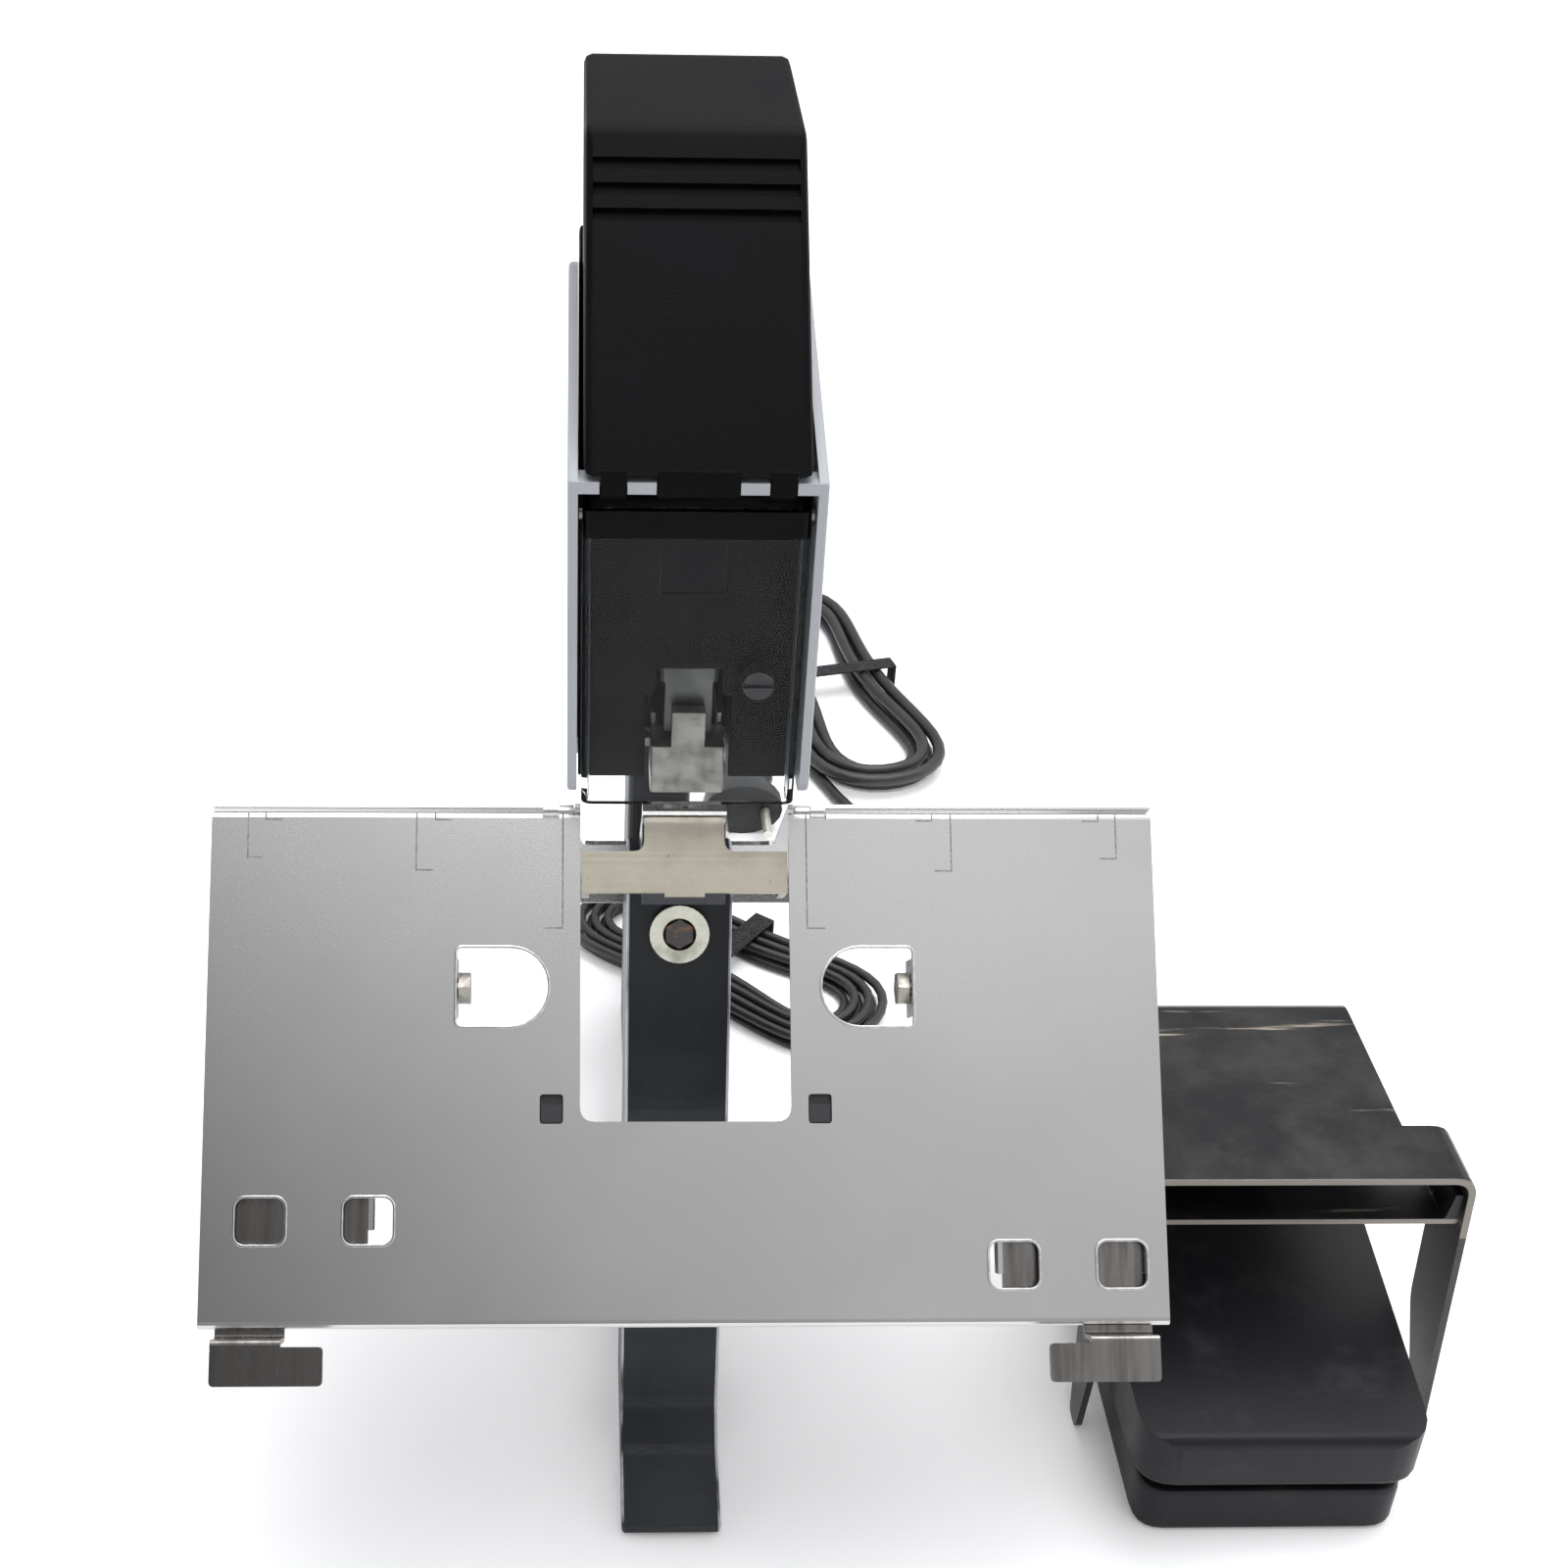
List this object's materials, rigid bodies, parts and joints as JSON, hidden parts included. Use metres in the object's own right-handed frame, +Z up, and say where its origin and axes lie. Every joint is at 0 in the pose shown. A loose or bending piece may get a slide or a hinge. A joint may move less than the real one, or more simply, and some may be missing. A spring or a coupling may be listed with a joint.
{
  "type": "electric stapler",
  "caption": "Electric stapler with a hinged tent-shaped steel table for flat sheets and booklets, a tall narrow head with clear driver guard, and a foot pedal under a folded steel toe guard.",
  "frame": {"origin": "on the floor straight below the middle of the table's ridge, in the underside of the front foot pad", "axes": "+X to the operator's right, +Y away from the operator, +Z up"},
  "size_m": [0.358, 0.631, 0.3806],
  "materials": {
    "satin_steel": "satin rolled stainless sheet with fine scratches",
    "nickel_plate": "warm nickel plating",
    "bright_steel": "bright zinc or ground steel",
    "mill_steel": "dark mill-finish steel sheet with bare cut edges",
    "black_paint": "satin black paint",
    "black_plastic": "fine-grained black moulding",
    "grey_plastic": "light grey moulding",
    "clear_plastic": "clear polycarbonate",
    "rubber": "matt black rubber",
    "cord_black": "satin black sheath",
    "copper_wire": "enamelled copper winding",
    "board_green": "lacquered circuit board"
  },
  "bodies": {
    "machine": {"front_column": "black_paint", "base_rail": "black_paint", "rear_post": "black_paint", "cross_foot": "black_paint", "column_bolt": "black_paint", "foot_pad_front": "rubber", "foot_pad_left": "rubber", "foot_pad_right": "rubber", "foot_pad_rear": "rubber", "mains_gland": "rubber", "pedal_gland": "rubber", "mains_cord_tie": "rubber", "pedal_cord_tie": "rubber", "anvil_block": "bright_steel", "guard_hinge_pin": "bright_steel", "magazine_body": "bright_steel", "staple_strip": "bright_steel", "pusher_spring": "bright_steel", "return_spring": "bright_steel", "pedal_hinge_pin": "bright_steel", "pedal_spring": "bright_steel", "anvil_bracket": "nickel_plate", "column_washer": "nickel_plate", "magazine_nose": "nickel_plate", "rear_table": "satin_steel", "rear_cover": "black_plastic", "nose_frame": "black_plastic", "switch_body": "black_plastic", "pedal_base": "black_plastic", "pedal_microswitch": "black_plastic", "mains_plug": "black_plastic", "left_side_cover": "grey_plastic", "right_side_cover": "grey_plastic", "head_chassis": "mill_steel", "solenoid_yoke": "mill_steel", "guard_hood": "mill_steel", "guard_shelf": "mill_steel", "solenoid_coil": "copper_wire", "control_board": "board_green", "mains_cord_run": "cord_black", "mains_cord_hank": "cord_black", "mains_cord_tail": "cord_black", "pedal_cord_run": "cord_black", "pedal_cord_hank": "cord_black", "pedal_cord_tail": "cord_black"},
    "table": {"front_table": "satin_steel", "ear_bolt_left": "bright_steel", "ear_bolt_right": "bright_steel", "table_catch_left": "black_plastic", "table_catch_right": "black_plastic"},
    "stop_left": {"paper_stop_left": "satin_steel"},
    "stop_right": {"paper_stop_right": "satin_steel"},
    "cover": {"top_cover": "black_plastic"},
    "guard": {"clear_guard": "clear_plastic"},
    "driver": {"driver_blade": "bright_steel", "plunger": "bright_steel"},
    "pusher": {"staple_pusher": "black_plastic"},
    "treadle": {"pedal_treadle": "black_plastic"},
    "rocker": {"switch_rocker": "black_plastic"},
    "knob": {"force_knob": "black_plastic"}
  },
  "joints": [
    {"name": "table_tilt", "type": "hinge", "parent": "machine", "child": "table", "pos_m": [0, 0, 0.2124], "axis": [-1, 0, 0], "range_deg": [0, 48]},
    {"name": "stop_slide_left", "type": "slide", "parent": "table", "child": "stop_left", "axis": [0, -0.6691, -0.7431], "range_m": [0, 0.02]},
    {"name": "stop_slide_right", "type": "slide", "parent": "table", "child": "stop_right", "axis": [0, -0.6691, -0.7431], "range_m": [0, 0.02]},
    {"name": "cover_lid", "type": "hinge", "parent": "machine", "child": "cover", "pos_m": [0, -0.0096, 0.3092], "axis": [1, 0, 0], "range_deg": [0, 60]},
    {"name": "guard_swing", "type": "hinge", "parent": "machine", "child": "guard", "pos_m": [0, -0.0079, 0.302], "axis": [-1, 0, 0], "range_deg": [0, 35]},
    {"name": "driver_stroke", "type": "slide", "parent": "machine", "child": "driver", "axis": [0, 0, -1], "range_m": [0, 0.012], "stiffness_N_per_m": 300, "springref_m": -0.008, "deforming": ["return_spring"]},
    {"name": "pusher_slide", "type": "slide", "parent": "machine", "child": "pusher", "axis": [0, 1, 0], "range_m": [0, 0.048], "stiffness_N_per_m": 40, "springref_m": -0.02, "deforming": ["pusher_spring"]},
    {"name": "treadle_press", "type": "hinge", "parent": "machine", "child": "treadle", "pos_m": [0.175, 0.042, 0.027], "axis": [1, 0, 0], "range_deg": [0, 2], "stiffness_Nm_per_rad": 5, "springref_deg": -5.73, "deforming": ["pedal_spring"]},
    {"name": "rocker_click", "type": "hinge", "parent": "machine", "child": "rocker", "pos_m": [0, 0.2098, 0.262], "axis": [1, 0, 0], "range_deg": [-8, 8]},
    {"name": "knob_turn", "type": "hinge", "parent": "machine", "child": "knob", "pos_m": [0.017, 0, 0.2546], "axis": [0, -1, 0], "range_deg": [0, 270]}
  ]
}
